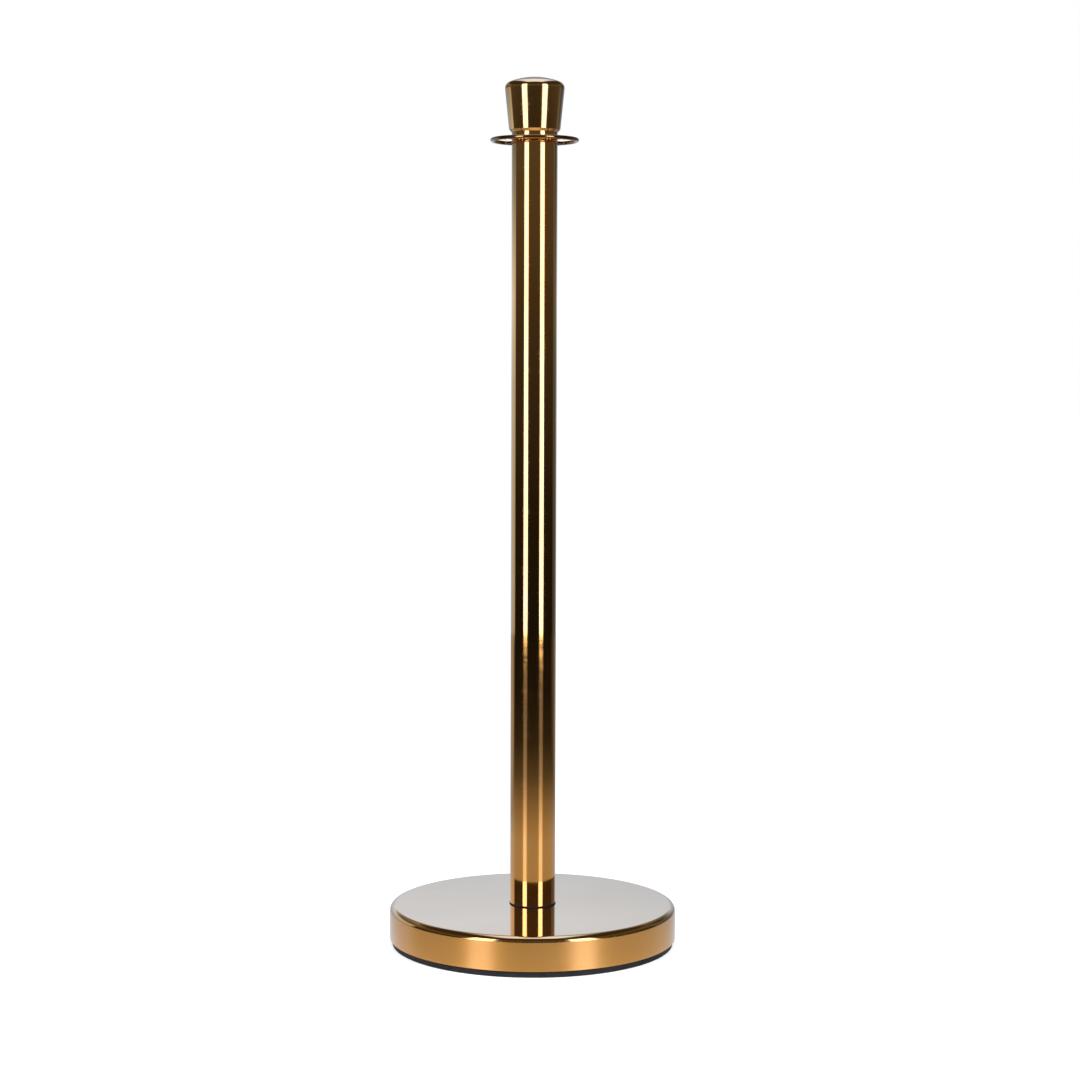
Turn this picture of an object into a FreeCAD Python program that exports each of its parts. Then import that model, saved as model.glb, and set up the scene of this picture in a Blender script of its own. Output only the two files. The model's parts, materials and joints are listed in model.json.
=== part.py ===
"""Rope barrier stanchion: a weighted disc base, a plain post, a swivelling rope ring and a crown.

Millimetres. +Z is up, the origin is on the floor at the post's axis. Everything is turned about Z,
so most pieces are a half section in the XZ plane, revolved.

The post is pulled down on the base by one bolt from below. On top of the post a stud carries a
bush, the ring turns freely on the bush, and the crown screws down on the bush, not on the ring.
"""
import FreeCAD, Part
import math
import os
import re
import Sketcher
from FreeCAD import Placement, Rotation, Vector

# ------------------------------------------------------------------ driving dimensions
SIZES = {
    # whole object
    "total_height": (965.0, "floor to the top of the crown's dome"),
    # base, from the floor up
    "base_radius": (160.0, "outside of the spun cover"),
    "base_top": (44.0, "flat top of the cover"),
    "cover_wall": (1.0, "sheet thickness of the cover"),
    "cover_edge": (6.5, "outer radius of the cover's rounded top edge"),
    "cover_foot": (7.0, "lower edge of the cover's skirt"),
    "rubber_radius": (157.3, "outside of the rubber ring"),
    "rubber_inner": (140.0, "inside of the rubber ring's foot"),
    "rubber_top": (6.2, "top of the rubber ring's foot, which carries the weight"),
    "lip_outer": (156.3, "outside of the rubber lip inside the skirt"),
    "lip_inner": (151.9, "inside of the rubber lip"),
    "lip_top": (16.0, "top of the rubber lip"),
    "weight_radius": (156.5, "cast weight above the lip"),
    "weight_edge": (7.0, "cast rounding of the weight's top edge"),
    "push_gap": (0.1, "gap between pieces that are pushed together by hand"),
    "recess_radius": (32.0, "recess under the weight for the bolt's head"),
    "recess_top": (24.0, "ceiling of that recess"),
    # base bolt and its washers
    "sleeve_radius": (9.0, "steel sleeve cast into the weight"),
    "bolt_radius": (6.0, "M12 bolt"),
    "bolt_length": (60.0, "under the head"),
    "bolt_hole": (6.6, "clearance hole for the bolt"),
    "bolt_flats": (19.0, "across flats of the bolt's head"),
    "bolt_head": (7.5, "height of the bolt's head"),
    "washer_radius": (27.0, "large flat washer"),
    "washer_thick": (3.0, "large flat washer"),
    "spring_radius": (10.5, "spring washer"),
    "spring_thick": (2.5, "spring washer, flattened"),
    "spring_turn": (346.0, "degrees of ring left beside the spring washer's slit"),
    # post
    "gasket_radius": (25.9, "black gasket between the post and the base"),
    "gasket_thick": (1.2, "black gasket"),
    "post_radius": (25.4, "outside of the tube"),
    "post_wall": (1.2, "tube wall"),
    "post_top": (892.9, "upper end of the tube"),
    "plug_length": (26.0, "each of the two plugs in the tube's ends"),
    "press": (0.02, "radial interference of a plug pressed into the tube"),
    "screw_gap": (0.05, "radial gap that stands for a thread's clearance"),
    # head
    "stud_radius": (5.0, "M10 stud"),
    "stud_top": (916.5, "upper end of the stud"),
    "nut_flats": (17.0, "across flats of the jam nut"),
    "nut_thick": (6.0, "jam nut"),
    "nut_below": (4.0, "stud that stands out under the jam nut"),
    "bush_radius": (11.95, "bush that the ring's hub turns on"),
    "bush_length": (5.9, "the crown stops on the bush, so the hub stays free"),
    "slip_gap": (0.1, "axial play beside a washer"),
    "slip_inner": (12.3, "bore of both slip washers"),
    "slip_radius": (22.0, "outside of both slip washers"),
    "slip_thick": (0.7, "both slip washers"),
    "hub_radius": (25.3, "ring hub, level with the post"),
    "hub_bore": (12.0, "ring hub's bore, a running fit on the bush"),
    "hub_height": (4.2, "ring hub, between the washers"),
    "hub_edge": (0.3, "rounding of the hub's and the crown neck's rims"),
    "hub_socket": (2.4, "depth of the hub's socket for a spoke"),
    "ring_radius": (47.0, "centre line of the rope ring"),
    "wire_radius": (2.3, "rope ring's wire"),
    "spoke_radius": (1.5, "spoke's wire"),
    # crown
    "neck_radius": (25.3, "crown's neck, level with the post"),
    "neck_top": (904.2, "where the spun shell sits on the neck"),
    "boss_radius": (10.0, "threaded boss inside the crown"),
    "boss_top": (922.0, "upper end of that boss"),
    "spigot_radius": (23.0, "step that centres the shell"),
    "spigot_height": (1.5, "step that centres the shell"),
    "crown_foot": (25.6, "radius at the shell's lower edge"),
    "chamfer_radius": (28.4, "radius at the upper end of the shell's chamfer"),
    "chamfer_top": (907.0, "height of the upper end of the chamfer"),
    "crown_radius": (33.4, "radius where the cone would meet the dome"),
    "crown_edge": (7.5, "rounding between cone and dome"),
    "dome_radius": (77.0, "sphere of the dome"),
    "shell_wall": (1.2, "sheet thickness of the crown's shell"),
}
SPOKES = 4
SPOKE_ANGLE = 45.0                      # degrees from +X to the first spoke
TOLERANCE = 1e-3

doc = FreeCAD.newDocument("rope_stanchion")
sheet = doc.addObject("Spreadsheet::Sheet", "sizes")
for row, (alias, (value, note)) in enumerate(SIZES.items(), start=1):
    sheet.set(f"A{row}", alias)
    sheet.set(f"B{row}", str(value))
    sheet.setAlias(f"B{row}", alias)
    sheet.set(f"C{row}", note)
doc.recompute()

nodes = []


# ------------------------------------------------------------------ helpers
def size(alias):
    """The value that the sheet holds for one driving dimension."""
    return float(sheet.get(alias))


def bound(formula):
    """A formula in the sheet's aliases, with each alias given its full name."""
    return re.sub(r"[a-z]\w+", r"sizes.\g<0>", formula)


def keep(piece, label):
    """Name a finished piece and list it for export."""
    piece.Label = label
    nodes.append(piece)
    return piece


def new_body(name):
    return doc.addObject("PartDesign::Body", name)


def origin_feature(body, role):
    for feature in body.Origin.OriginFeatures:
        if feature.Role == role:
            return feature
    raise ValueError(role)


def pin_point(sketch, line, radius, height):
    """Hold the first point of a line at a radius and a height, both formulas."""
    start = sketch.Geometry[line].StartPoint
    if radius == "0":
        sketch.addConstraint(Sketcher.Constraint("PointOnObject", line, 1, -2))
    else:
        index = sketch.addConstraint(Sketcher.Constraint("DistanceX", -1, 1, line, 1, start.x))
        sketch.setExpression(f"Constraints[{index}]", bound(radius))
    if height == "0":
        sketch.addConstraint(Sketcher.Constraint("PointOnObject", line, 1, -1))
    else:
        index = sketch.addConstraint(Sketcher.Constraint("DistanceY", -1, 1, line, 1, start.y))
        sketch.setExpression(f"Constraints[{index}]", bound(height))


def half_section(body, corners):
    """A closed outline of straight lines in the XZ plane; each corner is (radius, height)."""
    sketch = body.newObject("Sketcher::SketchObject", body.Name + "_section")
    sketch.AttachmentSupport = [(origin_feature(body, "XZ_Plane"), "")]
    sketch.MapMode = "FlatFace"
    count = len(corners)
    reach = size("base_radius")
    step = 2 * math.pi / count
    rough = [Vector(reach * (2 - math.cos(i * step)), reach * (2 + math.sin(i * step)), 0)
             for i in range(count)]
    for i in range(count):
        sketch.addGeometry(Part.LineSegment(rough[i], rough[(i + 1) % count]))
    for i in range(count):
        sketch.addConstraint(Sketcher.Constraint("Coincident", i, 2, (i + 1) % count, 1))
    for i, (radius, height) in enumerate(corners):
        pin_point(sketch, i, radius, height)
    return sketch


def revolve(body, sketch, turn="360"):
    """The section turned about the body's Z axis."""
    solid = body.newObject("PartDesign::Revolution", body.Name + "_turned")
    solid.Profile = sketch
    solid.ReferenceAxis = (sketch, ["V_Axis"])
    solid.setExpression("Angle", bound(turn))
    doc.recompute()
    return solid


def turned(name, corners, turn="360"):
    """A plain turned piece."""
    body = new_body(name)
    revolve(body, half_section(body, corners), turn)
    return body


def groove(body, sketch):
    """The section turned about the body's Z axis and cut away."""
    cut = body.newObject("PartDesign::Groove", sketch.Name + "_cut")
    cut.Profile = sketch
    cut.ReferenceAxis = (sketch, ["V_Axis"])
    cut.Angle = 360
    doc.recompute()
    return cut


def ring_section(inner, outer, low, high):
    """Corners of a plain ring."""
    return [(inner, low), (outer, low), (outer, high), (inner, high)]


def rim_edges(shape, radius, height):
    """Names of the circular edges about Z that have this radius and height."""
    found = []
    for index, edge in enumerate(shape.Edges, start=1):
        if edge.Degenerated or not isinstance(edge.Curve, Part.Circle):
            continue
        curve = edge.Curve
        same_radius = abs(curve.Radius - radius) < TOLERANCE
        same_height = abs(curve.Center.z - height) < TOLERANCE
        if same_radius and same_height:
            found.append(f"Edge{index}")
    return found


def round_rims(body, rims, radius):
    """Round the rims, each (radius, height) in numbers, by a radius given as a formula."""
    base = body.Tip
    edges = []
    for rim_radius, rim_height in rims:
        edges += rim_edges(base.Shape, rim_radius, rim_height)
    if len(edges) < len(rims):
        raise ValueError(f"{body.Name}: a rim to round is missing")
    fillet = body.newObject("PartDesign::Fillet", body.Name + "_rounding")
    fillet.Base = (base, edges)
    fillet.setExpression("Radius", bound(radius))
    doc.recompute()
    return fillet


def flat_face(shape, height):
    """Name of the flat horizontal face at this height."""
    for index, face in enumerate(shape.Faces, start=1):
        if isinstance(face.Surface, Part.Plane) and abs(face.CenterOfMass.z - height) < TOLERANCE:
            return f"Face{index}"
    raise ValueError("no flat face")


def hollow_from_below(body, foot, wall):
    """Turn the solid into a shell of one wall thickness, open at its lowest face."""
    base = body.Tip
    before = base.Shape.Volume
    shell = body.newObject("PartDesign::Thickness", body.Name + "_shell")
    shell.Base = (base, [flat_face(base.Shape, foot)])
    shell.setExpression("Value", bound(wall))
    shell.Reversed = True
    doc.recompute()
    if not 0 < shell.Shape.Volume < before:
        raise ValueError(f"{body.Name}: the shell isn't hollow")
    return shell


def cylinder(name, radius, height, low):
    """A cylinder about Z that stands at a height; all three are formulas."""
    piece = doc.addObject("Part::Cylinder", name)
    piece.setExpression("Radius", bound(radius))
    piece.setExpression("Height", bound(height))
    piece.setExpression("Placement.Base.z", bound(low))
    return piece


def hexagon(name, flats, height, low):
    """A hexagonal prism about Z, given across its flats."""
    piece = doc.addObject("Part::Prism", name)
    piece.Polygon = 6
    piece.setExpression("Circumradius", bound(flats) + " / (2 * cos(30 deg))")
    piece.setExpression("Height", bound(height))
    piece.setExpression("Placement.Base.z", bound(low))
    return piece


def boolean(kind, name, base, tool):
    piece = doc.addObject(f"Part::{kind}", name)
    piece.Base = base
    piece.Tool = tool
    return piece


# ------------------------------------------------------------------ base
def floor_ring():
    """Rubber ring: a flat foot, and a lip that sits between the weight and the cover's skirt."""
    keep(turned("floor_ring", [
        ("rubber_inner", "0"),
        ("rubber_radius", "0"),
        ("rubber_radius", "rubber_top"),
        ("lip_outer", "rubber_top"),
        ("lip_outer", "lip_top"),
        ("lip_inner", "lip_top"),
        ("lip_inner", "rubber_top"),
        ("rubber_inner", "rubber_top"),
    ]), "floor_ring")


def base_weight():
    """Cast concrete disc, stepped for the rubber lip, with a recess and a bore for the bolt."""
    body = turned("base_weight", [
        ("recess_radius", "rubber_top"),
        ("lip_inner - push_gap", "rubber_top"),
        ("lip_inner - push_gap", "lip_top + push_gap"),
        ("weight_radius", "lip_top + push_gap"),
        ("weight_radius", "base_top - cover_wall"),
        ("sleeve_radius", "base_top - cover_wall"),
        ("sleeve_radius", "recess_top"),
        ("recess_radius", "recess_top"),
    ])
    top = size("base_top") - size("cover_wall")
    round_rims(body, [(size("weight_radius"), top)], "weight_edge")
    keep(body, "base_weight")


def weight_sleeve():
    """Steel sleeve cast into the weight, which keeps the bolt off the concrete."""
    keep(turned("weight_sleeve", ring_section(
        "bolt_hole", "sleeve_radius", "recess_top", "base_top - cover_wall")), "weight_sleeve")


def base_cover():
    """Spun sheet cover with a rounded top edge, open below, with a hole for the bolt."""
    body = turned("base_cover", [
        ("0", "cover_foot"),
        ("base_radius", "cover_foot"),
        ("base_radius", "base_top"),
        ("0", "base_top"),
    ])
    round_rims(body, [(size("base_radius"), size("base_top"))], "cover_edge")
    shell = hollow_from_below(body, size("cover_foot"), "cover_wall")
    hole = groove(body, half_section(body, ring_section(
        "0", "bolt_hole", "cover_foot", "base_top + cover_wall")))
    if not hole.Shape.Volume < shell.Shape.Volume:
        raise ValueError("base_cover: the hole isn't cut")
    keep(body, "base_cover")


def base_fasteners():
    """The bolt that holds the post down, its spring washer and its large flat washer."""
    washer_low = "recess_top - washer_thick"
    spring_low = f"{washer_low} - spring_thick"
    head_low = f"{spring_low} - bolt_head"
    keep(turned("base_washer", ring_section(
        "bolt_hole", "washer_radius", washer_low, "recess_top")), "base_washer")
    keep(turned("lock_washer", ring_section(
        "bolt_hole", "spring_radius", spring_low, washer_low), "spring_turn"), "lock_washer")
    head = hexagon("bolt_head", "bolt_flats", "bolt_head", head_low)
    shank = cylinder("bolt_shank", "bolt_radius", "bolt_length", spring_low)
    keep(boolean("Fuse", "base_bolt", head, shank), "base_bolt")


# ------------------------------------------------------------------ post
def seat_gasket():
    """Thin black gasket that the tube stands on."""
    keep(turned("seat_gasket", ring_section(
        "bolt_hole", "gasket_radius", "base_top", "base_top + gasket_thick")), "seat_gasket")


def post_tube():
    """The straight tube."""
    keep(turned("post_tube", ring_section(
        "post_radius - post_wall", "post_radius", "base_top + gasket_thick", "post_top")),
        "post_tube")


def plugs():
    """Plugs pressed into the tube's ends: the foot takes the bolt, the top takes the stud."""
    rim = "post_radius - post_wall + press"
    foot = "base_top + gasket_thick"
    keep(turned("foot_plug", ring_section(
        "bolt_radius + screw_gap", rim, foot, f"{foot} + plug_length")), "foot_plug")
    keep(turned("top_plug", ring_section(
        "stud_radius + screw_gap", rim, "post_top - plug_length", "post_top")), "top_plug")


# ------------------------------------------------------------------ head
def stud_and_nut():
    """The stud through the top plug and the jam nut under the plug."""
    nut_low = "post_top - plug_length - nut_thick"
    stud_low = f"{nut_low} - nut_below"
    keep(cylinder("head_stud", "stud_radius", f"stud_top - ({stud_low})", stud_low), "head_stud")
    blank = hexagon("nut_blank", "nut_flats", "nut_thick", nut_low)
    bore = cylinder("nut_bore", "stud_radius + screw_gap", "nut_thick", nut_low)
    keep(boolean("Cut", "stud_nut", blank, bore), "stud_nut")


def neck_bush():
    """Spacer that the hub turns on; the crown is screwed down against its upper end."""
    keep(turned("neck_bush", ring_section(
        "stud_radius + screw_gap", "bush_radius", "post_top", "post_top + bush_length")),
        "neck_bush")


def slip_washers():
    """Nylon washers under and over the hub; recesses in the hub and the crown's neck hide them."""
    keep(turned("lower_washer", ring_section(
        "slip_inner", "slip_radius", "post_top", "post_top + slip_thick")), "lower_washer")
    top = "post_top + bush_length"
    keep(turned("upper_washer", ring_section(
        "slip_inner", "slip_radius", f"{top} - slip_thick", top)), "upper_washer")


HUB_LOW = "post_top + slip_thick + slip_gap"
HUB_RIM = "post_top + 2 * slip_gap"
RING_LEVEL = f"{HUB_LOW} + hub_height / 2"


def ring_hub():
    """Collar that carries the ring: recessed below for the washer, with a socket per spoke."""
    top = f"{HUB_LOW} + hub_height"
    body = turned("ring_hub", [
        ("hub_bore", HUB_LOW),
        ("slip_radius + 3 * slip_gap", HUB_LOW),
        ("slip_radius + 3 * slip_gap", HUB_RIM),
        ("hub_radius", HUB_RIM),
        ("hub_radius", top),
        ("hub_bore", top),
    ])
    rim = size("post_top") + 2 * size("slip_gap")
    low = size("post_top") + size("slip_thick") + size("slip_gap")
    high = low + size("hub_height")
    round_rims(body, [(size("hub_radius"), rim), (size("hub_radius"), high)], "hub_edge")
    before = body.Tip.Shape.Volume
    mouth = body.newObject("Sketcher::SketchObject", "socket_mouth")
    mouth.AttachmentSupport = [(origin_feature(body, "YZ_Plane"), "")]
    mouth.MapMode = "FlatFace"
    mouth.addGeometry(Part.Circle(Vector(0, low, 0), Vector(0, 0, 1), size("spoke_radius")))
    mouth.addConstraint(Sketcher.Constraint("PointOnObject", 0, 3, -2))
    level = mouth.addConstraint(Sketcher.Constraint("DistanceY", -1, 1, 0, 3, low))
    mouth.setExpression(f"Constraints[{level}]", bound(RING_LEVEL))
    bore = mouth.addConstraint(Sketcher.Constraint("Radius", 0, size("spoke_radius")))
    mouth.setExpression(f"Constraints[{bore}]", bound("spoke_radius"))
    mouth.setExpression("AttachmentOffset.Base.z", bound("hub_radius - hub_socket"))
    socket = body.newObject("PartDesign::Pocket", "socket")
    socket.Profile = mouth
    socket.Reversed = True
    socket.setExpression("Length", bound("2 * hub_socket"))
    doc.recompute()
    sockets = body.newObject("PartDesign::PolarPattern", "sockets")
    sockets.Originals = [socket]
    sockets.Axis = (origin_feature(body, "Z_Axis"), [""])
    sockets.Angle = 360
    sockets.Occurrences = SPOKES
    body.Tip = sockets
    doc.recompute()
    cut = before - sockets.Shape.Volume
    one = math.pi * size("spoke_radius") ** 2 * size("hub_socket")
    if not 0.9 * SPOKES * one < cut < 1.1 * SPOKES * one:
        raise ValueError("ring_hub: the sockets aren't all cut")
    body.Placement = Placement(Vector(0, 0, 0), Rotation(Vector(0, 0, 1), SPOKE_ANGLE))
    keep(body, "ring_hub")


def rope_ring(name):
    """The wire ring."""
    ring = doc.addObject("Part::Torus", name)
    ring.setExpression("Radius1", bound("ring_radius"))
    ring.setExpression("Radius2", bound("wire_radius"))
    ring.setExpression("Placement.Base.z", bound(RING_LEVEL))
    return ring


def spokes():
    """Short wires from the hub's sockets to the ring, each mitred to the ring's wire."""
    for number in range(1, SPOKES + 1):
        angle = math.radians(SPOKE_ANGLE + 360.0 / SPOKES * (number - 1))
        wire = doc.addObject("Part::Cylinder", f"spoke_wire_{number}")
        wire.setExpression("Radius", bound("spoke_radius"))
        wire.setExpression("Height", bound("ring_radius - hub_radius + hub_socket"))
        outward = Vector(math.cos(angle), math.sin(angle), 0)
        wire.Placement = Placement(Vector(0, 0, 0), Rotation(Vector(0, 0, 1), outward))
        start = "(hub_radius - hub_socket)"
        wire.setExpression("Placement.Base.x", bound(f"{start} * {outward.x:.9f}"))
        wire.setExpression("Placement.Base.y", bound(f"{start} * {outward.y:.9f}"))
        wire.setExpression("Placement.Base.z", bound(RING_LEVEL))
        mitre = rope_ring(f"spoke_mitre_{number}")
        keep(boolean("Cut", f"spoke_{number}", wire, mitre), f"spoke_{number}")


# ------------------------------------------------------------------ crown
def crown_boss():
    """Turned neck of the crown: a disc with the tapped boss, recessed below for the washer."""
    foot = f"{HUB_LOW} + hub_height + 2 * slip_gap"
    ceiling = "post_top + bush_length + slip_gap"
    bore = "stud_radius + screw_gap"
    body = turned("crown_boss", [
        (bore, ceiling),
        ("slip_radius + 3 * slip_gap", ceiling),
        ("slip_radius + 3 * slip_gap", foot),
        ("neck_radius", foot),
        ("neck_radius", "neck_top"),
        ("spigot_radius", "neck_top"),
        ("spigot_radius", "neck_top + spigot_height"),
        ("boss_radius", "neck_top + spigot_height"),
        ("boss_radius", "boss_top"),
        (bore, "boss_top"),
    ])
    low = size("post_top") + size("slip_thick") + size("hub_height") + 3 * size("slip_gap")
    round_rims(body, [(size("neck_radius"), low), (size("neck_radius"), size("neck_top"))],
               "hub_edge")
    keep(body, "crown_boss")


def crown_outline(body, inset):
    """Half section of the crown's solid form, smaller all round by the inset, an alias or None."""
    smaller = size(inset) if inset else 0
    less = f" - {inset}" if inset else ""
    sketch = body.newObject("Sketcher::SketchObject", f"crown_{inset or 'outside'}")
    sketch.AttachmentSupport = [(origin_feature(body, "XZ_Plane"), "")]
    sketch.MapMode = "FlatFace"
    centre = size("total_height") - size("dome_radius")
    dome = size("dome_radius") - smaller
    rim = size("crown_radius") - smaller
    rim_height = centre + math.sqrt(dome ** 2 - rim ** 2)
    points = [
        Vector(0, size("neck_top"), 0),
        Vector(size("crown_foot") - smaller, size("neck_top"), 0),
        Vector(size("chamfer_radius") - smaller, size("chamfer_top"), 0),
        Vector(rim, rim_height, 0),
        Vector(0, centre + dome, 0),
    ]
    for start, end in zip(points[:3], points[1:4]):
        sketch.addGeometry(Part.LineSegment(start, end))
    circle = Part.Circle(Vector(0, centre, 0), Vector(0, 0, 1), dome)
    arc = sketch.addGeometry(Part.ArcOfCircle(circle, math.acos(rim / dome), math.pi / 2))
    axis = sketch.addGeometry(Part.LineSegment(points[4], points[0]))
    for joint in [(0, 2, 1, 1), (1, 2, 2, 1), (2, 2, arc, 1), (arc, 2, axis, 1), (axis, 2, 0, 1)]:
        sketch.addConstraint(Sketcher.Constraint("Coincident", *joint))
    sketch.addConstraint(Sketcher.Constraint("PointOnObject", arc, 3, -2))
    bend = sketch.addConstraint(Sketcher.Constraint("Radius", arc, dome))
    sketch.setExpression(f"Constraints[{bend}]", bound("dome_radius" + less))
    pin_point(sketch, 0, "0", "neck_top")
    pin_point(sketch, 1, "crown_foot" + less, "neck_top")
    pin_point(sketch, 2, "chamfer_radius" + less, "chamfer_top")
    pin_point(sketch, axis, "0", "total_height" + less)
    widest = sketch.addConstraint(Sketcher.Constraint("DistanceX", -1, 1, arc, 1, rim))
    sketch.setExpression(f"Constraints[{widest}]", bound("crown_radius" + less))
    return sketch, (rim, rim_height)


def crown_shell():
    """Spun shell of the crown: a chamfer, a widening cone, a rounded edge and a shallow dome."""
    body = new_body("crown_shell")
    outside, outer_rim = crown_outline(body, None)
    solid = revolve(body, outside)
    inside, inner_rim = crown_outline(body, "shell_wall")
    groove(body, inside)
    if not body.Tip.Shape.Volume < 0.5 * solid.Shape.Volume:
        raise ValueError("crown_shell: the shell isn't hollow")
    round_rims(body, [inner_rim], "crown_edge - shell_wall")
    round_rims(body, [outer_rim], "crown_edge")
    keep(body, "crown_shell")


# ------------------------------------------------------------------ build, test, write
def test_pieces():
    """Every object has to be computed, and every piece one valid solid."""
    for thing in doc.Objects:
        if "Invalid" in thing.State or "Error" in thing.State:
            raise ValueError(f"{thing.Name} failed: {thing.State}")
    for piece in nodes:
        shape = piece.Shape
        if shape.isNull() or not shape.isValid() or len(shape.Solids) != 1:
            raise ValueError(f"{piece.Label} isn't one valid solid")


def write_pieces():
    os.makedirs("parts", exist_ok=True)
    for piece in nodes:
        piece.Shape.exportStep(f"parts/{piece.Label}.step")
        box = piece.Shape.BoundBox
        print(f"{piece.Label:14s} r {box.XMax:7.2f}  z {box.ZMin:7.2f} to {box.ZMax:7.2f}"
              f"  volume {piece.Shape.Volume / 1000:9.2f} cm3")


floor_ring()
base_weight()
weight_sleeve()
base_cover()
base_fasteners()
seat_gasket()
post_tube()
plugs()
stud_and_nut()
neck_bush()
slip_washers()
ring_hub()
spokes()
keep(rope_ring("hang_ring"), "hang_ring")
crown_boss()
crown_shell()
doc.recompute()
test_pieces()
write_pieces()
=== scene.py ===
import json
import math

import bmesh
import bpy
from mathutils import Matrix, Vector, noise


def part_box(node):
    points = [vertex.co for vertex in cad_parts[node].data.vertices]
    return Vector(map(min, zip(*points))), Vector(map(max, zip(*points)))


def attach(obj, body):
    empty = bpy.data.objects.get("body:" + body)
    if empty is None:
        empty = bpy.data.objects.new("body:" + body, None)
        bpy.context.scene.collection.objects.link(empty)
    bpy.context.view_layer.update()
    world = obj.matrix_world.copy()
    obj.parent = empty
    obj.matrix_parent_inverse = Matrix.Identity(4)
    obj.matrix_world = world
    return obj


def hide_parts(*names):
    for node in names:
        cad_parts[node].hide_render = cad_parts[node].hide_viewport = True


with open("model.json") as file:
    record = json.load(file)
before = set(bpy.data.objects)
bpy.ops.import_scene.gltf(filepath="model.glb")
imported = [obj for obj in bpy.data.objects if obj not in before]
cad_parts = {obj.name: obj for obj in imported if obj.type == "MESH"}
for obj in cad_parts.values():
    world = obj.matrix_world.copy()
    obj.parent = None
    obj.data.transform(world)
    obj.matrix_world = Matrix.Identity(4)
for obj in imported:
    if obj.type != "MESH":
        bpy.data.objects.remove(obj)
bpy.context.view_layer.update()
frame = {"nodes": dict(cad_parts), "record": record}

MM = 0.001


# ------------------------------------------------------------------ sizes read from the frame
def radius_of(node):
    """Largest radius about Z that stays inside the node's box."""
    low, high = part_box(node)
    return min(-low.x, -low.y, high.x, high.y)


def levels_of(node):
    """Heights of the node's foot and top."""
    low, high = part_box(node)
    return low.z, high.z


BOLT_HOLE = 6.6 * MM
SHEET_WALL = 1.0 * MM
TUBE_WALL = 1.2 * MM
WASHER_RECESS = 22.3 * MM
EDGE_STEPS = 5


# ------------------------------------------------------------------ profiles
def arc(centre, radius, start, end, steps):
    """Points on an arc in the (radius, height) plane, angles in degrees from outward."""
    points = []
    for i in range(steps + 1):
        angle = math.radians(start + (end - start) * i / steps)
        points.append((centre[0] + radius * math.cos(angle), centre[1] + radius * math.sin(angle)))
    return points


def rounded(corners, hold=0.25 * MM):
    """A closed outline with rounded corners.

    Each corner is (radius, height, rounding, steps). Where a corner is rounded, one more point
    on each side holds the flat beside it truly flat.
    """
    outline = []
    count = len(corners)
    for i, (x, z, rounding, steps) in enumerate(corners):
        here = Vector((x, z))
        if not rounding:
            outline.append((x, z))
            continue
        before = Vector(corners[i - 1][:2]) - here
        after = Vector(corners[(i + 1) % count][:2]) - here
        before_way, after_way = before.normalized(), after.normalized()
        half = before_way.angle(after_way) / 2
        reach = rounding / math.tan(half)
        middle = here + (before_way + after_way).normalized() * (rounding / math.sin(half))
        first, last = here + before_way * reach, here + after_way * reach
        if before.length > 2 * (reach + hold):
            outline.append(tuple(first + before_way * hold))
        spoke, end = first - middle, last - middle
        turn = math.atan2(spoke.x * end.y - spoke.y * end.x, spoke.dot(end))
        for step in range(steps + 1):
            turned = spoke.copy()
            turned.rotate(Matrix.Rotation(turn * step / steps, 2))
            outline.append(tuple(middle + turned))
        if after.length > 2 * (reach + hold):
            outline.append(tuple(last + after_way * hold))
    return outline


def mesh_object(name, bm, smooth_angle=40):
    """An object from a finished bmesh, smooth but for edges sharper than the angle."""
    bmesh.ops.recalc_face_normals(bm, faces=bm.faces)
    mesh = bpy.data.meshes.new(name)
    bm.to_mesh(mesh)
    bm.free()
    for face in mesh.polygons:
        face.use_smooth = True
    mesh.set_sharp_from_angle(angle=math.radians(smooth_angle))
    piece = bpy.data.objects.new(name, mesh)
    bpy.context.scene.collection.objects.link(piece)
    return piece


def lathe_mesh(outline, segments, outward=None):
    """The outline turned about Z. outward(angle, radius, height) may change each radius."""
    bm = bmesh.new()
    rings = []
    for radius, height in outline:
        if radius < 1e-7:
            rings.append([bm.verts.new((0, 0, height))])
            continue
        ring = []
        for i in range(segments):
            angle = 2 * math.pi * i / segments
            r, z = outward(angle, radius, height) if outward else (radius, height)
            ring.append(bm.verts.new((r * math.cos(angle), r * math.sin(angle), z)))
        rings.append(ring)
    for lower, upper in zip(rings, rings[1:] + rings[:1]):
        for i in range(segments):
            j = (i + 1) % segments
            corners = []
            for ring, k in ((lower, i), (lower, j), (upper, j), (upper, i)):
                vert = ring[k % len(ring)]
                if vert not in corners:
                    corners.append(vert)
            if len(corners) > 2:
                bm.faces.new(corners)
    return bm


def lathe(name, outline, segments=192, outward=None):
    return mesh_object(name, lathe_mesh(outline, segments, outward))


def finish_piece(piece, body, slot, material, *nodes):
    """Material, body and the CAD nodes that the piece stands for; the slot argument is not used."""
    piece.data.materials.append(material)
    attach(piece, body)
    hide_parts(*nodes)
    return piece


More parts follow.
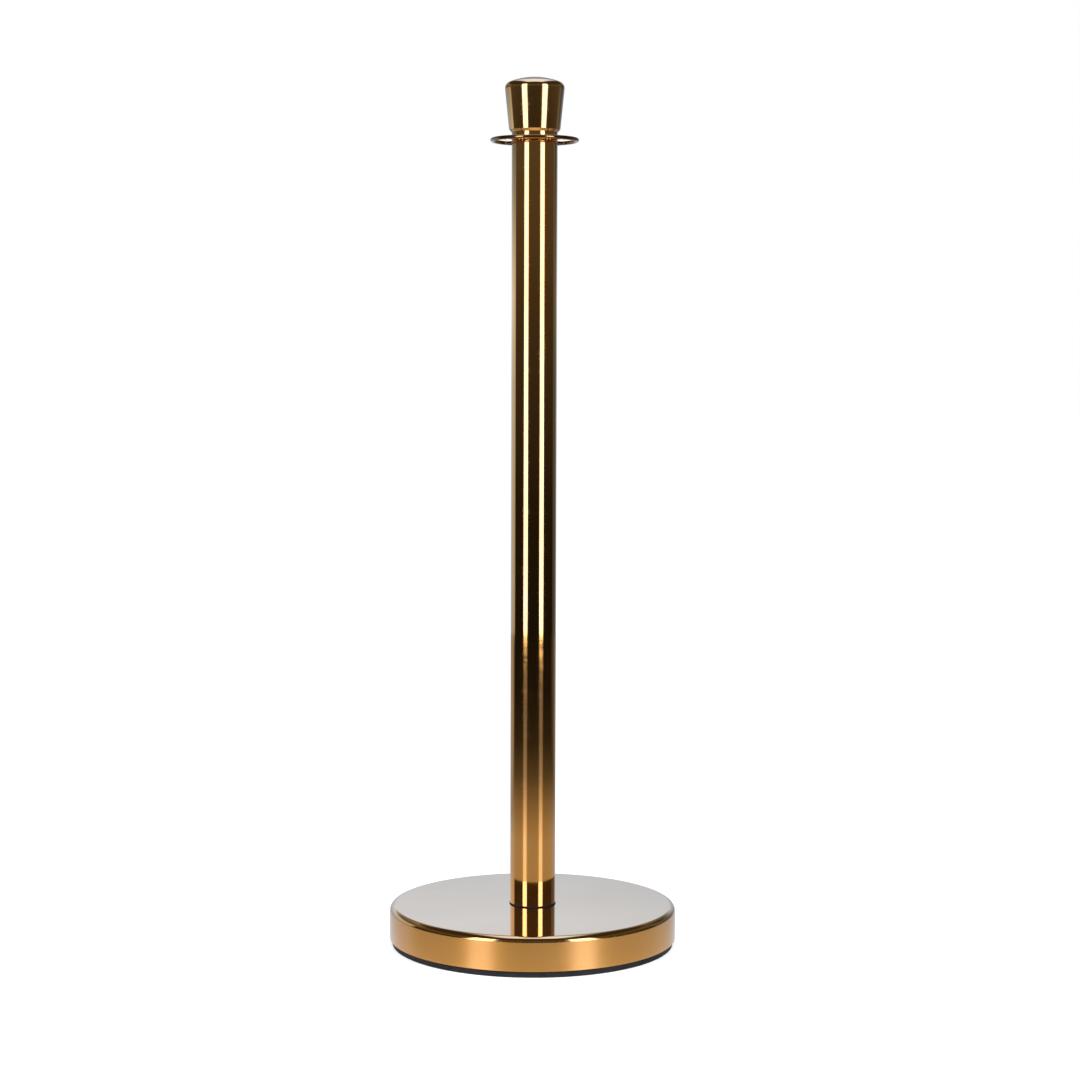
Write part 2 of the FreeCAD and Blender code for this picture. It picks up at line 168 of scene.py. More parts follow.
# ------------------------------------------------------------------ materials
class Nodes:
    """Short calls for building one material's node tree."""

    def __init__(self, name):
        self.material = bpy.data.materials.new(name)
        self.material.use_nodes = True
        self.tree = self.material.node_tree
        self.shader = self.tree.nodes["Principled BSDF"]
        self.place = self.add("ShaderNodeTexCoord").outputs["Object"]

    def add(self, kind, **settings):
        node = self.tree.nodes.new(kind)
        for key, value in settings.items():
            setattr(node, key, value)
        return node

    def link(self, source, target):
        self.tree.links.new(source, target)

    def put(self, node, **inputs):
        """Set or link inputs by name; an underscore in a name stands for a space."""
        for key, value in inputs.items():
            socket = node.inputs[key.replace("_", " ")]
            if isinstance(value, bpy.types.NodeSocket):
                self.link(value, socket)
            else:
                socket.default_value = value
        return node

    def math(self, operation, a, b=0.0):
        node = self.add("ShaderNodeMath", operation=operation)
        for socket, value in zip(node.inputs, (a, b)):
            if isinstance(value, bpy.types.NodeSocket):
                self.link(value, socket)
            else:
                socket.default_value = value
        return node.outputs[0]

    def noise(self, vector, scale, detail=3.0, rough=0.55):
        node = self.add("ShaderNodeTexNoise")
        self.put(node, Vector=vector, Scale=scale, Detail=detail, Roughness=rough)
        return node.outputs["Fac"]

    def scaled(self, vector, x, y, z):
        node = self.add("ShaderNodeVectorMath", operation="MULTIPLY")
        self.link(vector, node.inputs[0])
        node.inputs[1].default_value = (x, y, z)
        return node.outputs[0]

    def ramp(self, value, *stops):
        """A colour ramp; each stop is (position, colour)."""
        node = self.add("ShaderNodeValToRGB")
        self.link(value, node.inputs[0])
        elements = node.color_ramp.elements
        while len(elements) < len(stops):
            elements.new(0.5)
        for element, (position, colour) in zip(elements, stops):
            element.position = position
            element.color = (*colour, 1.0)
        return node.outputs[0]

    def span(self, value, low, high, to_low, to_high):
        node = self.add("ShaderNodeMapRange")
        self.put(node, Value=value, From_Min=low, From_Max=high, To_Min=to_low, To_Max=to_high)
        return node.outputs[0]

    def bump(self, height, strength, distance, below=None):
        node = self.add("ShaderNodeBump")
        self.put(node, Height=height, Strength=strength, Distance=distance)
        if below is not None:
            self.link(below, node.inputs["Normal"])
        return node.outputs[0]

    def round_place(self):
        """(radius, height, angle) of the point about Z, for marks that run round the piece."""
        split = self.add("ShaderNodeSeparateXYZ")
        self.link(self.place, split.inputs[0])
        x, y, z = split.outputs
        square = self.math("ADD", self.math("MULTIPLY", x, x), self.math("MULTIPLY", y, y))
        radius = self.math("SQRT", square)
        angle = self.math("ARCTAN2", y, x)
        join = self.add("ShaderNodeCombineXYZ")
        for value, socket in zip((radius, z, angle), join.inputs):
            self.link(value, socket)
        return join.outputs[0]


GOLD = (0.90, 0.41, 0.078)
GOLD_PALE = (0.92, 0.45, 0.100)
GOLD_DEEP = (0.87, 0.38, 0.060)


def gold(name, along=(900.0, 900.0, 1.2), haze=0.045, marks=0.03, satin=0.0, depth=1.0, coat=1.0):
    """Polished, lacquered gold: buffing marks round the piece, faint haze and handling smudges.

    The satin value dulls the upright sides only, as on a spun cover.
    """
    n = Nodes(name)
    turned = n.scaled(n.round_place(), *along)
    lines = n.noise(turned, 1.0, 2.0, 0.5)
    cloud = n.noise(n.place, 9.0, 3.0, 0.6)
    smudge = n.noise(n.place, 38.0, 4.0, 0.62)
    deep, plain, pale = [tuple(c * depth for c in shade) for shade in (GOLD_DEEP, GOLD, GOLD_PALE)]
    tint = n.ramp(cloud, (0.3, deep), (0.5, plain), (0.72, pale))
    dull = n.math("MULTIPLY", n.span(smudge, 0.52, 0.75, 0.0, 1.0), haze * 0.9)
    fine = n.span(lines, 0.3, 0.7, haze * 0.7, haze * 1.25)
    rough = n.math("ADD", fine, dull)
    if satin:
        facing = n.add("ShaderNodeSeparateXYZ")
        n.link(n.add("ShaderNodeNewGeometry").outputs["Normal"], facing.inputs[0])
        upright = n.math("ABSOLUTE", facing.outputs["Z"])
        side = n.span(upright, 0.05, 0.35, satin, 0.0)
        rough = n.math("ADD", rough, side)
    wave = n.noise(n.scaled(n.place, 6.0, 6.0, 2.2), 1.0, 2.0, 0.5)
    soft = n.bump(wave, 0.35, 0.0006)
    normal = n.bump(lines, marks, 0.00002, soft)
    n.put(n.shader, Base_Color=tint, Roughness=rough, Normal=normal, Metallic=1.0)
    n.put(n.shader, Coat_Weight=coat, Coat_Roughness=0.03, Coat_IOR=1.5)
    return n.material


def black_rubber():
    """Moulded rubber: fine grain, a dusting of grey on the high spots."""
    n = Nodes("black_rubber")
    grain = n.noise(n.place, 2600.0, 3.0, 0.6)
    dust = n.noise(n.place, 60.0, 5.0, 0.65)
    tint = n.ramp(dust, (0.35, (0.007, 0.007, 0.008)), (0.62, (0.014, 0.014, 0.015)),
                  (0.85, (0.034, 0.033, 0.031)))
    rough = n.span(grain, 0.3, 0.7, 0.52, 0.74)
    normal = n.bump(grain, 0.35, 0.00008)
    n.put(n.shader, Base_Color=tint, Roughness=rough, Normal=normal)
    n.put(n.shader, Specular_IOR_Level=0.25)
    return n.material


def cast_concrete():
    """Cement skin with sand, small air holes and damp stains."""
    n = Nodes("cast_concrete")
    stain = n.noise(n.place, 14.0, 5.0, 0.6)
    sand = n.noise(n.place, 900.0, 4.0, 0.7)
    holes = n.add("ShaderNodeTexVoronoi", feature="F1")
    n.put(holes, Vector=n.place, Scale=210.0, Randomness=1.0)
    pit = n.span(holes.outputs["Distance"], 0.10, 0.22, 0.0, 1.0)
    tint = n.ramp(stain, (0.3, (0.20, 0.195, 0.185)), (0.52, (0.31, 0.30, 0.285)),
                  (0.75, (0.42, 0.41, 0.39)))
    speck = n.add("ShaderNodeMix", data_type="RGBA", blend_type="MULTIPLY")
    speck.inputs[0].default_value = 0.55
    n.link(tint, speck.inputs[6])
    n.link(n.ramp(sand, (0.35, (0.55, 0.54, 0.52)), (0.65, (1.0, 1.0, 1.0))), speck.inputs[7])
    first = n.bump(sand, 0.5, 0.0003)
    normal = n.bump(pit, 0.8, 0.0008, first)
    n.put(n.shader, Base_Color=speck.outputs[2], Normal=normal)
    n.put(n.shader, Roughness=n.span(sand, 0.3, 0.7, 0.82, 0.97))
    return n.material


def plain_metal(name, dark, light, rough, along=(1500.0, 1500.0, 2.0)):
    """Unpolished metal with turning or plating marks."""
    n = Nodes(name)
    turned = n.scaled(n.round_place(), *along)
    lines = n.noise(turned, 1.0, 3.0, 0.6)
    patch = n.noise(n.place, 70.0, 4.0, 0.6)
    tint = n.ramp(patch, (0.32, dark), (0.7, light))
    n.put(n.shader, Base_Color=tint, Metallic=1.0)
    n.put(n.shader, Roughness=n.span(lines, 0.3, 0.7, rough * 0.8, rough * 1.3))
    n.put(n.shader, Normal=n.bump(lines, 0.25, 0.00004))
    return n.material


def nylon():
    """Natural nylon: milky, a little see-through, with fine moulding grain."""
    n = Nodes("nylon")
    patch = n.noise(n.place, 120.0, 3.0, 0.6)
    tint = n.ramp(patch, (0.3, (0.72, 0.70, 0.63)), (0.7, (0.82, 0.81, 0.76)))
    n.put(n.shader, Base_Color=tint, Roughness=n.span(patch, 0.3, 0.7, 0.38, 0.5))
    n.put(n.shader, Normal=n.bump(n.noise(n.place, 1800.0), 0.15, 0.00005))
    n.put(n.shader, Subsurface_Weight=0.1, Subsurface_Radius=(0.001, 0.001, 0.0008))
    return n.material


MATERIALS = {
    "gold_sheet": gold("gold_sheet", along=(700.0, 700.0, 0.8), haze=0.05, marks=0.006, satin=0.24),
    "gold_tube": gold("gold_tube", along=(300.0, 500.0, 1.5), haze=0.07, marks=0.003),
    "gold_crown": gold("gold_crown", haze=0.07, marks=0.004),
    "gold_fitting": gold("gold_fitting", haze=0.10, depth=0.42, coat=0.3),
    "black_rubber": black_rubber(),
    "cast_concrete": cast_concrete(),
    "zinc_steel": plain_metal("zinc_steel", (0.50, 0.52, 0.53), (0.66, 0.67, 0.66), 0.34),
    "turned_steel": plain_metal("turned_steel", (0.40, 0.40, 0.41), (0.54, 0.54, 0.54), 0.3),
    "plain_brass": plain_metal("plain_brass", (0.66, 0.45, 0.18), (0.78, 0.58, 0.28), 0.26),
    "nylon": nylon(),
}
SLOT_OF = {entry["node"]: entry["material_slot"] for entry in frame["record"]["subparts"]}
for node, piece in frame["nodes"].items():
    piece.data.materials.clear()
    piece.data.materials.append(MATERIALS[SLOT_OF[node]])


def skin(name, outline, body, node, segments=192, outward=None):
    """A turned piece that stands for one CAD node and takes the material of that node's slot."""
    piece = lathe(name, outline, segments, outward)
    slot = SLOT_OF[node]
    return finish_piece(piece, body, slot, MATERIALS[slot], node)


# ------------------------------------------------------------------ base
def build_cover():
    """Spun cover: flat top, rounded edge and a plain skirt with a softened lip."""
    radius = radius_of("base_cover")
    foot, top = levels_of("base_cover")
    edge, lip = 6.5 * MM, 0.45 * MM
    inside, ceiling = radius - SHEET_WALL, top - SHEET_WALL
    outline = rounded([
        (BOLT_HOLE, top, 0.2 * MM, 3),
        (radius, top, edge, 28),
        (radius, foot, lip, EDGE_STEPS),
        (inside, foot, lip, EDGE_STEPS),
        (inside, ceiling, edge - SHEET_WALL, 12),
        (BOLT_HOLE, ceiling, 0.2 * MM, 3),
    ])
    skin("cover_skin", outline, "post", "base_cover", 384)


def build_floor_ring():
    """Rubber ring: soft corners, a lip that holds the cover's skirt, and grip grooves below."""
    radius = radius_of("floor_ring")
    low, high = levels_of("floor_ring")
    foot, inner = low + 6.2 * MM, 140.0 * MM
    lip_out, lip_in = 156.3 * MM, 151.9 * MM
    groove, slant, deep, pitch, count = 1.2 * MM, 0.3 * MM, 0.8 * MM, 3.4 * MM, 4
    corners = [(inner, low, 0.5 * MM, 3)]
    start = inner + 2.0 * MM
    for i in range(count):
        left = start + i * pitch
        corners += [
            (left, low, 0.2 * MM, 2),
            (left + slant, low + deep, 0.0, 0),
            (left + groove - slant, low + deep, 0.0, 0),
            (left + groove, low, 0.2 * MM, 2),
        ]
    corners += [
        (radius, low, 0.9 * MM, EDGE_STEPS),
        (radius, foot, 0.7 * MM, EDGE_STEPS),
        (lip_out, foot, 0.0, 0),
        (lip_out, high, 0.8 * MM, EDGE_STEPS),
        (lip_in, high, 0.8 * MM, EDGE_STEPS),
        (lip_in, foot, 0.0, 0),
        (inner, foot, 0.5 * MM, 3),
    ]
    skin("rubber_skin", rounded(corners), "post", "floor_ring", 288)


def build_weight():
    """Cast weight; the side that faces the floor is uneven, as poured concrete is."""
    low, high = levels_of("base_weight")
    recess, ceiling, bore, bevel = 32.0 * MM, 24.0 * MM, 9.0 * MM, 3.0 * MM
    step, ledge, radius, edge = 151.8 * MM, 16.1 * MM, radius_of("base_weight"), 7.0 * MM
    bare, rings, relief = 139.0 * MM, 60, 0.5 * MM
    outline = [(bore, ceiling), (recess - bevel, ceiling), (recess, ceiling - bevel)]
    outline += [(recess, low + 2.0 * MM), (recess + 0.6 * MM, low + 0.6 * MM)]
    start = recess + 2.0 * MM
    outline += [(start + (step - 2.0 * MM - start) * i / rings, low) for i in range(rings + 1)]
    outline += [(step, low + 2.0 * MM), (step, ledge), (radius, ledge)]
    outline += arc((radius - edge, high - edge), edge, 0, 90, 8)
    outline += [(bore, high)]

    def uneven(angle, r, z):
        """Only the face inside the rubber ring is rough."""
        if z > low + 1.0 * MM or r > bare:
            return r, z
        spot = Vector((r * math.cos(angle), r * math.sin(angle), 0.0))
        swell = noise.fractal(spot * 45.0, 1.0, 2.0, 4) + 1.0
        grit = noise.fractal(spot * 420.0, 1.0, 2.0, 3) * 0.25
        return r, z + relief * max(0.0, swell * 0.6 + grit)

    skin("weight_cast", outline, "post", "base_weight", 288, uneven)


def hexagon_radius(angle, flats):
    """Distance from the axis to a hexagon's side in a direction."""
    sixth = math.pi / 3
    return flats / 2 / math.cos((angle % sixth) - sixth / 2)


def build_bolt():
    """Hexagon bolt: head with its chamfer below, plain shank, thread ridges at its end."""
    low, high = levels_of("base_bolt")
    head, flats, shank = 7.5 * MM, 19.0 * MM, 6.0 * MM
    face, slope = flats / 2 * 0.97, math.tan(math.radians(30))
    pitch, depth, turns = 1.75 * MM, 0.95 * MM, 15
    washer_face, to_hexagon = low + head - 0.4 * MM, 1.0
    outline = [(0.0, low), (face * 0.6, low), (face, low), (to_hexagon, low)]
    outline += [(to_hexagon, washer_face), (face, washer_face), (face, low + head), (shank, low + head)]
    thread_start = high - turns * pitch - 1.0 * MM
    outline += [(shank, thread_start)]
    for turn in range(turns):
        base = thread_start + turn * pitch
        outline += [(shank - depth, base + 0.45 * pitch), (shank - 0.1 * MM, base + 0.9 * pitch)]
    outline += [(shank - depth, high - 0.3 * MM), (shank - 1.3 * MM, high), (0.0, high)]

    def shape(angle, r, z):
        """Points at the to_hexagon radius go to the hexagon's sides."""
        if r < to_hexagon:
            return r, z
        corner = hexagon_radius(angle, flats)
        return corner, z + (max(0.0, corner - face) * slope if z < low + head / 2 else 0.0)

    skin("bolt_turned", outline, "post", "base_bolt", 96, shape)


# ------------------------------------------------------------------ post
def build_gasket():
    """Thin rubber washer, full round at its edge, between the cover and the tube."""
    radius = radius_of("seat_gasket")
    low, high = levels_of("seat_gasket")
    outline = rounded([
        (BOLT_HOLE, low, 0.0, 0),
        (radius, low, 0.45 * MM, EDGE_STEPS),
        (radius, high, 0.45 * MM, EDGE_STEPS),
        (BOLT_HOLE, high, 0.0, 0),
    ])
    skin("gasket_skin", outline, "post", "seat_gasket", 160)


def build_tube():
    """Straight tube with its cut ends broken."""
    radius = radius_of("post_tube")
    low, high = levels_of("post_tube")
    inner = radius - TUBE_WALL
    outline = rounded([
        (inner, low, 0.2 * MM, 3),
        (radius, low, 0.35 * MM, EDGE_STEPS),
        (radius, high, 0.35 * MM, EDGE_STEPS),
        (inner, high, 0.2 * MM, 3),
    ])
    skin("tube_skin", outline, "post", "post_tube", 256)


# ------------------------------------------------------------------ rope ring
def build_hub():
    """Turned hub of the rope ring, recessed below for the lower washer."""
    radius = radius_of("ring_hub")
    low, high = levels_of("ring_hub")
    bore, ceiling = 12.0 * MM, low + 0.6 * MM
    outline = rounded([
        (bore, ceiling, 0.2 * MM, 3),
        (WASHER_RECESS, ceiling, 0.0, 0),
        (WASHER_RECESS, low, 0.2 * MM, 3),
        (radius, low, 0.3 * MM, 6),
        (radius, high, 0.3 * MM, 6),
        (bore, high, 0.3 * MM, 3),
    ])
    skin("hub_skin", outline, "ring", "ring_hub", 192)


def build_ring():
    """Wire ring, closed by a ground weld that is a hair thicker than the wire."""
    low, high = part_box("hang_ring")
    wire = (high.z - low.z) / 2
    centre = radius_of("hang_ring") - wire
    level = (high.z + low.z) / 2
    around, across = 256, 40
    weld_at, weld_width, weld_rise = math.radians(100), math.radians(2.2), 0.12 * MM
    bm = bmesh.new()
    rows = []
    for i in range(around):
        angle = 2 * math.pi * i / around
        away = (angle - weld_at) / weld_width
        swell = wire - 0.02 * MM - weld_rise + weld_rise * math.exp(-away * away)
        row = []
        for k in range(across):
            tilt = 2 * math.pi * k / across
            reach = centre + swell * math.cos(tilt)
            row.append(bm.verts.new((reach * math.cos(angle), reach * math.sin(angle),
                                     level + swell * math.sin(tilt))))
        rows.append(row)
    for i in range(around):
        for k in range(across):
            i2, k2 = (i + 1) % around, (k + 1) % across
            bm.faces.new((rows[i][k], rows[i2][k], rows[i2][k2], rows[i][k2]))
    piece = mesh_object("ring_wire", bm)
    slot = SLOT_OF["hang_ring"]
    finish_piece(piece, "ring", slot, MATERIALS[slot], "hang_ring")
    return centre, wire, level


def build_spokes(centre, wire, level):
    """Spoke wires, brazed: the metal flares where a spoke meets the hub and the ring."""
    hub = radius_of("ring_hub")
    thin, flare, run = 1.5 * MM, 0.75 * MM, 1.6 * MM
    inner, outer = hub - 1.6 * MM, centre - wire * 0.35
    samples = 28
    outline = [(0.0, inner)]
    for i in range(samples + 1):
        along = inner + (outer - inner) * i / samples
        to_hub = max(0.0, 1.0 - max(0.0, along - hub) / run)
        to_ring = max(0.0, 1.0 - max(0.0, centre - wire - along) / run)
        outline.append((thin + flare * (to_hub ** 2 + to_ring ** 2), along))
    outline.append((0.0, outer))
    for number in range(1, 5):
        node = f"spoke_{number}"
        low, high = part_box(node)
        middle = (low + high) / 2
        angle = math.atan2(middle.y, middle.x)
        bm = lathe_mesh(outline, 32)
        turn = Matrix.Rotation(angle, 4, "Z") @ Matrix.Rotation(math.radians(90), 4, "Y")
        bmesh.ops.transform(bm, matrix=Matrix.Translation((0, 0, level)) @ turn, verts=bm.verts)
        piece = mesh_object(f"spoke_wire_{number}", bm)
        slot = SLOT_OF[node]
        finish_piece(piece, "ring", slot, MATERIALS[slot], node)


# ------------------------------------------------------------------ crown
def build_neck():
    """Turned neck of the crown with its tapped boss, recessed below for the washer."""
    radius = radius_of("crown_boss")
    low, high = levels_of("crown_boss")
    shoulder = levels_of("crown_shell")[0]
    bore, boss, spigot = 5.05 * MM, 10.0 * MM, 23.0 * MM
    ceiling, step = low + 0.8 * MM, 1.5 * MM
    outline = rounded([
        (bore, ceiling, 0.0, 0),
        (WASHER_RECESS, ceiling, 0.0, 0),
        (WASHER_RECESS, low, 0.2 * MM, 3),
        (radius, low, 0.3 * MM, 6),
        (radius, shoulder, 0.3 * MM, 6),
        (spigot, shoulder, 0.0, 0),
        (spigot, shoulder + step, 0.2 * MM, 3),
        (boss, shoulder + step, 0.0, 0),
        (boss, high, 0.5 * MM, 3),
        (bore, high, 0.3 * MM, 3),
    ])
    skin("crown_neck", outline, "crown", "crown_boss", 192)


def crown_outline(radius, foot, top, inset):
    """From the foot, over the chamfer, cone, rounded edge and dome, to the axis."""
    dome, edge = 77.0 * MM, 7.5 * MM - inset
    chamfer = Vector((28.4 * MM - inset, foot + 2.8 * MM))
    start = Vector((25.6 * MM - inset, foot))
    centre = top - dome
    sphere = dome - inset
    rim = radius - inset
    corner = Vector((rim, centre + math.sqrt(sphere ** 2 - rim ** 2)))
    cone = (corner - chamfer).normalized()
    inward = Vector((-cone.y, cone.x))
    # the edge arc touches the cone's line and the dome's circle from inside
    base = chamfer + inward * edge
    reach = Vector((0.0, centre)) - base
    along = reach.dot(cone)
    off = reach.dot(inward)
    travel = along + math.sqrt((sphere - edge) ** 2 - off ** 2)
    middle = base + cone * travel
    from_angle = math.degrees(math.atan2(-inward.y, -inward.x))
    to_dome = math.degrees(math.atan2(middle.y - centre, middle.x))
    points = rounded([
        (0.0, foot, 0.0, 0),
        (start.x, start.y, 0.25 * MM, 3),
        (chamfer.x, chamfer.y, 0.5 * MM, EDGE_STEPS),
        (middle.x - inward.x * edge, middle.y - inward.y * edge, 0.0, 0),
    ])[1:-1]
    hold = middle - inward * edge - cone * 0.3 * MM
    points.append(tuple(hold))
    points += arc(middle, edge, from_angle, to_dome, 20)
    points += arc((0.0, centre), sphere, to_dome, 90, 24)[1:-1]
    points.append((0.0, top - inset))
    return points


def build_crown():
    """Pressed shell of the crown: one outline outside and the same one wall further in."""
    foot, top = levels_of("crown_shell")
    radius = 33.4 * MM
    outside = crown_outline(radius, foot, top, 0.0)
    inside = crown_outline(radius, foot, top, TUBE_WALL)
    skin("crown_skin", outside + inside[::-1], "crown", "crown_shell", 224)


# ------------------------------------------------------------------ studio
CAMERA_DISTANCE = 2.612
CAMERA_HEIGHT = 0.651
CAMERA_PITCH = 2.90
CAMERA_ROLL = 0.163
CAMERA_LENS = 78.28
CAMERA_SHIFT = (0.0058, -0.0547)
LAMP_TURN = 40.5
LAMP_DISTANCE = 1.5
LAMP_LOW, LAMP_HIGH, LAMP_WIDTH = 0.14, 2.3, 0.56
LAMP_RADIANCE = 7.0
ROOM_REACH, ROOM_TOP = 3.0, 2.4


def build_camera():
    """Below the ring and above the base, level with the post's upper half."""
    data = bpy.data.cameras.new("camera")
    data.sensor_width = 36.0
    data.lens = CAMERA_LENS
    data.shift_x, data.shift_y = CAMERA_SHIFT
    data.clip_end = 60.0
    camera = bpy.data.objects.new("camera", data)
    tilt = Matrix.Rotation(math.radians(90 - CAMERA_PITCH), 4, "X")
    roll = Matrix.Rotation(math.radians(CAMERA_ROLL), 4, "Z")
    camera.matrix_world = Matrix.Translation((0, -CAMERA_DISTANCE, CAMERA_HEIGHT)) @ tilt @ roll
    bpy.context.scene.collection.objects.link(camera)
    bpy.context.scene.camera = camera


def round_post(reach, azimuth, height):
    """A point round the post; azimuth 0 is behind the camera, 90 is at +X."""
    turn = math.radians(azimuth)
    return reach * math.sin(turn), -reach * math.cos(turn), height


def azimuth_of(point):
    """Degrees round the post: 0 behind the camera, 90 at +X, 180 behind the post."""
    return math.degrees(math.atan2(point.x, -point.y)) % 360


def softbox(name, azimuth):
    """A tall lamp that faces the post. It lights matt surfaces; metal mirrors lamp_colour instead."""
    data = bpy.data.lights.new(name, "AREA")
    data.shape = "RECTANGLE"
    data.size = LAMP_WIDTH
    data.size_y = LAMP_HIGH - LAMP_LOW
    data.energy = LAMP_RADIANCE * math.pi * data.size * data.size_y
    lamp = bpy.data.objects.new(name, data)
    lamp.location = round_post(LAMP_DISTANCE, azimuth, (LAMP_LOW + LAMP_HIGH) / 2)
    lamp.rotation_euler = (math.radians(90), 0, math.radians(azimuth))
    lamp.visible_camera = False
    lamp.visible_glossy = False
    bpy.context.scene.collection.objects.link(lamp)


def only_mirrored(piece):
    """The camera doesn't see this piece, only the polished metal does."""
    piece.visible_camera = False
    piece.visible_diffuse = False
    piece.visible_shadow = False
    piece.visible_transmission = False


def blend(value, *stops):
    """Linear steps between (position, level) pairs, held beyond the ends."""
    if value <= stops[0][0]:
        return stops[0][1]
    for (x0, y0), (x1, y1) in zip(stops, stops[1:]):
        if value <= x1:
            return y0 + (y1 - y0) * (value - x0) / (x1 - x0)
    return stops[-1][1]


def glow_material():
    """Shines with the colour painted on the mesh."""
    material = bpy.data.materials.new("surround_glow")
    material.use_nodes = True
    tree = material.node_tree
    tree.nodes.clear()
    paint = tree.nodes.new("ShaderNodeAttribute")
    paint.attribute_name = "glow"
    shine = tree.nodes.new("ShaderNodeEmission")
    out = tree.nodes.new("ShaderNodeOutputMaterial")
    tree.links.new(paint.outputs["Color"], shine.inputs["Color"])
    tree.links.new(shine.outputs[0], out.inputs["Surface"])
    return material


def painted(name, rows, colour_at):
    """A sheet through rows of points, painted point by point; only the metal mirrors it."""
    bm = bmesh.new()
    grid = [[bm.verts.new(point) for point in row] for row in rows]
    for near, far in zip(grid, grid[1:]):
        for k in range(len(near) - 1):
            bm.faces.new((near[k], near[k + 1], far[k + 1], far[k]))
    sheet = mesh_object(name, bm)
    paint = sheet.data.color_attributes.new("glow", "FLOAT_COLOR", "POINT")
    for vertex, dab in zip(sheet.data.vertices, paint.data):
        dab.color = (*colour_at(vertex.co), 1.0)
    sheet.data.materials.append(glow_material())
    only_mirrored(sheet)
    return sheet


def lamp_colour(azimuth):
    """The two tall lamps as the metal mirrors them, soft and a little cool at their long edges."""
    side = min(abs(azimuth - LAMP_TURN), abs(360.0 - azimuth - LAMP_TURN))
    red = blend(side, (0.0, 4.6), (8.0, 4.2), (10.0, 0.5), (12.0, 0.12), (14.0, 0.0))
    green = blend(side, (0.0, 4.8), (8.0, 4.4), (10.3, 0.7), (12.0, 0.20), (14.0, 0.0))
    blue = blend(side, (0.0, 6.5), (8.0, 6.0), (11.0, 1.6), (12.5, 0.45), (14.0, 0.0))
    return red, green, blue


def wall_colour(point):
    """Lamps, a dim front, and a pale backdrop that is weaker to the right and narrower above."""
    azimuth, height = azimuth_of(point), point.z
    narrow = blend(height, (0.85, 1.0), (1.2, 0.3))
    back = blend(azimuth, (108, 0.0), (114, 0.10), (140, 0.22), (160, 0.75), (180, 1.0),
                 (225, 0.5 + 0.5 * narrow), (250, 0.9 * narrow), (255, 0.0))
    front = blend(height, (0.0, 0.010), (0.3, 0.016), (0.7, 0.045), (1.0, 0.086), (1.6, 0.095))
    front *= 1.0 if azimuth < 125 or azimuth > 240 else 0.0
    pale = blend(height, (0.0, 0.50), (0.6, 0.58), (0.8, 0.80), (1.05, 0.48), (1.2, 0.32),
                 (1.36, 0.22), (2.0, 0.30), (ROOM_TOP, 0.45))
    level = back * pale
    warm = blend(height, (1.2, 0.0), (1.4, 1.0))
    red, green, blue = lamp_colour(azimuth)
    return ((0.88 + 0.12 * warm) * level + front + red, (1.15 - 0.17 * warm) * level + front + green,
            (1.48 - 0.6 * warm) * level + front * 0.95 + blue)


def ceiling_colour(point):
    """A narrow pale strip, a painted overhead light that only the metal mirrors, goes on over the post,
    cooler in front; the rest is a dim warm grey.
    """
    pale = blend(point.y, (-0.75, 0.0), (-0.5, 1.0), (1.7, 1.0), (2.2, 0.35), (2.9, 0.25))
    pale *= blend(abs(point.x), (0.45, 1.0), (0.8, 0.0))
    green = blend(point.y, (0.8, 1.5), (1.7, 1.05))
    blue = blend(point.y, (0.8, 3.8), (1.7, 1.3))
    return (0.04 + 0.9 * pale, 0.038 + green * pale, 0.034 + blue * pale)


def build_surround():
    """The round wall and the roof that the metal mirrors."""
    heights = [0.0, 0.15, 0.3, 0.45, 0.6, 0.7, 0.8, 0.9, 1.05, 1.2, 1.28, 1.36, 1.43, 1.5, 1.8, 2.2]
    heights.append(ROOM_TOP)
    wall = [[round_post(ROOM_REACH, turn, z) for z in heights] for turn in range(361)]
    painted("surround_wall", wall, wall_colour)
    radii = [ROOM_REACH - 0.1 * i for i in range(29)] + [0.02]
    roof = [[round_post(r, turn, ROOM_TOP) for r in radii] for turn in range(361)]
    painted("surround_roof", roof, ceiling_colour)


def mirrored_floor_colour(point):
    """Lit near the base, falling off to dark away from it; the backdrop lifts it behind."""
    away = math.hypot(point.x, point.y) - 0.1
    level = blend(away, (0.05, 0.60), (0.12, 0.48), (0.25, 0.42), (0.5, 0.41), (0.7, 0.28),
                  (0.85, 0.17), (1.0, 0.085), (1.3, 0.032), (1.8, 0.014), (ROOM_REACH, 0.010))
    toward_back = blend(azimuth_of(point), (95, 0.0), (125, 0.10), (150, 0.26), (205, 0.30),
                        (240, 0.26), (252, 0.0))
    level = max(level, toward_back)
    return (level * 0.97, level, level * 1.02)


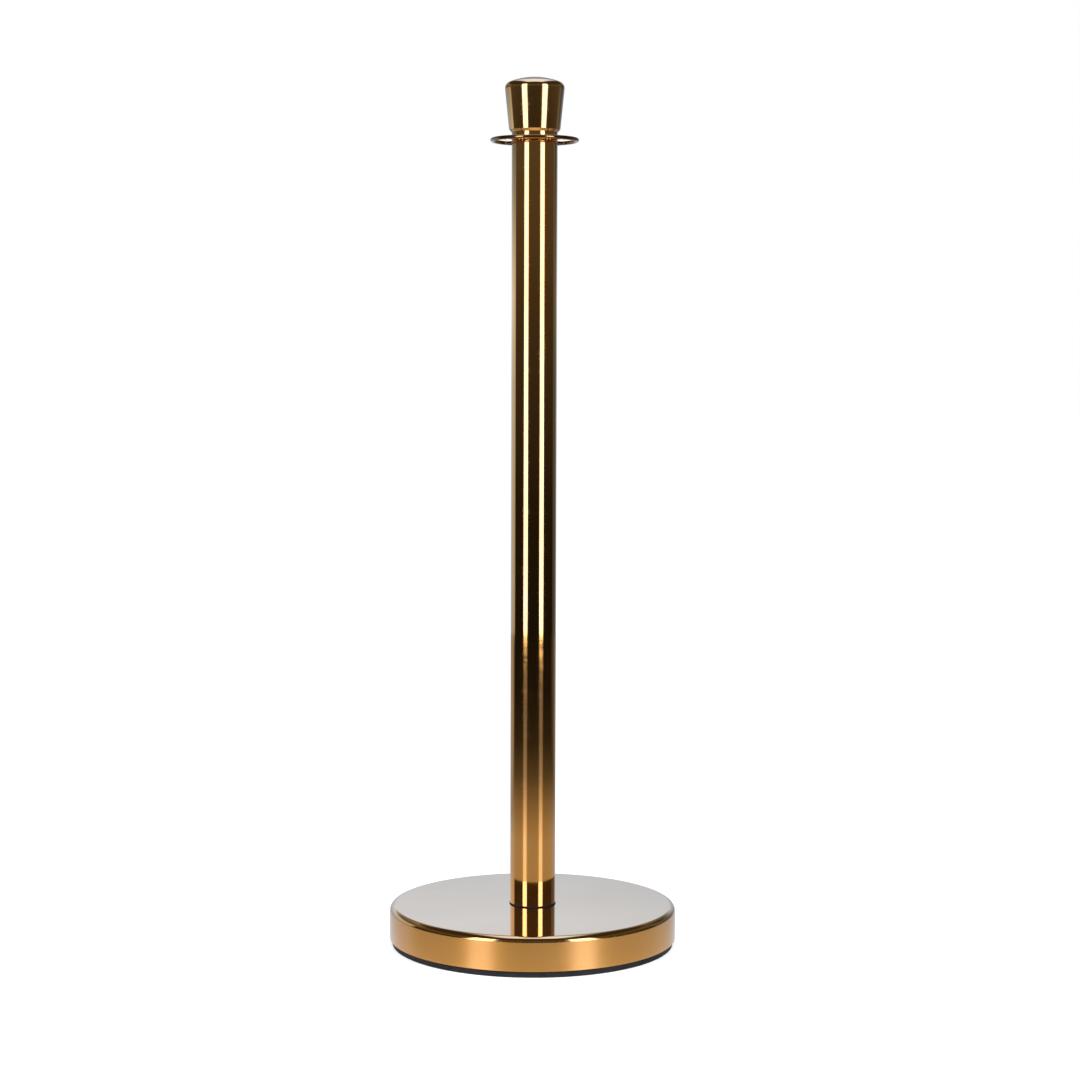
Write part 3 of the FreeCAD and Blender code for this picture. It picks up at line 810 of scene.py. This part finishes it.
def build_mirrored_floor():
    """The floor as the metal mirrors it: a graded glow under a gloss that fades with it."""
    below, turns = -0.5 * MM, range(0, 361, 3)
    radii = [0.1, 0.15, 0.2, 0.25, 0.3, 0.4, 0.5, 0.6, 0.7, 0.8, 0.9, 1.0, 1.1, 1.25, 1.4, 1.7, 2.0]
    radii.append(ROOM_REACH)
    rows = [[round_post(r, turn, below) for r in radii] for turn in turns]
    sheet = painted("floor_mirrored", rows, mirrored_floor_colour)
    material = sheet.data.materials[0]
    material.name = "floor_glow"
    tree = material.node_tree
    glow, shine, out = [tree.nodes[name] for name in ("Attribute", "Emission", "Material Output")]
    gloss = tree.nodes.new("ShaderNodeBsdfGlossy")
    share = tree.nodes.new("ShaderNodeVectorMath")
    share.operation = "MULTIPLY_ADD"
    share.inputs[1].default_value = (0.38, 0.38, 0.38)
    share.inputs[2].default_value = (0.04, 0.04, 0.04)
    tree.links.new(glow.outputs["Color"], share.inputs[0])
    tree.links.new(share.outputs[0], gloss.inputs["Color"])
    gloss.inputs["Roughness"].default_value = 0.24
    both = tree.nodes.new("ShaderNodeAddShader")
    tree.links.new(shine.outputs[0], both.inputs[0])
    tree.links.new(gloss.outputs[0], both.inputs[1])
    tree.links.new(both.outputs[0], out.inputs["Surface"])


def floor_material(name, colour, rough, glow):
    """Matt pale floor, faintly clouded, that glows a little to hold its tone."""
    n = Nodes(name)
    cloud = n.noise(n.place, 1.5, 2.0, 0.5)
    pale = tuple(min(1.0, c * 1.03) for c in colour)
    n.put(n.shader, Base_Color=n.ramp(cloud, (0.3, colour), (0.7, pale)), Roughness=rough)
    n.put(n.shader, Emission_Color=(1, 1, 1, 1), Emission_Strength=glow)
    return n.material


def disc(name, radius, level, material):
    """A flat round sheet of the studio."""
    bm = bmesh.new()
    bmesh.ops.create_circle(bm, cap_ends=True, radius=radius, segments=96)
    bmesh.ops.translate(bm, vec=(0, 0, level), verts=bm.verts)
    piece = mesh_object(name, bm)
    piece.data.materials.append(material)
    return piece


def build_studio():
    """White room for the camera; the metal mirrors the painted wall, roof and floor instead."""
    scene = bpy.context.scene
    scene.view_settings.view_transform = "Standard"
    world = bpy.data.worlds.new("studio")
    scene.world = world
    world.use_nodes = True
    background = world.node_tree.nodes["Background"]
    background.inputs["Color"].default_value = (1, 1, 1, 1)
    background.inputs["Strength"].default_value = 1.0
    world.cycles_visibility.glossy = False

    softbox("lamp_left", -LAMP_TURN)
    softbox("lamp_right", LAMP_TURN)
    build_surround()
    build_mirrored_floor()
    floor = disc("floor", 30.0, 0.0, floor_material("floor_white", (0.9, 0.9, 0.9), 0.7, 0.25))
    floor.visible_glossy = False


build_cover()
build_floor_ring()
build_weight()
build_bolt()
build_gasket()
build_tube()
build_hub()
build_spokes(*build_ring())
build_neck()
build_crown()
build_camera()
build_studio()
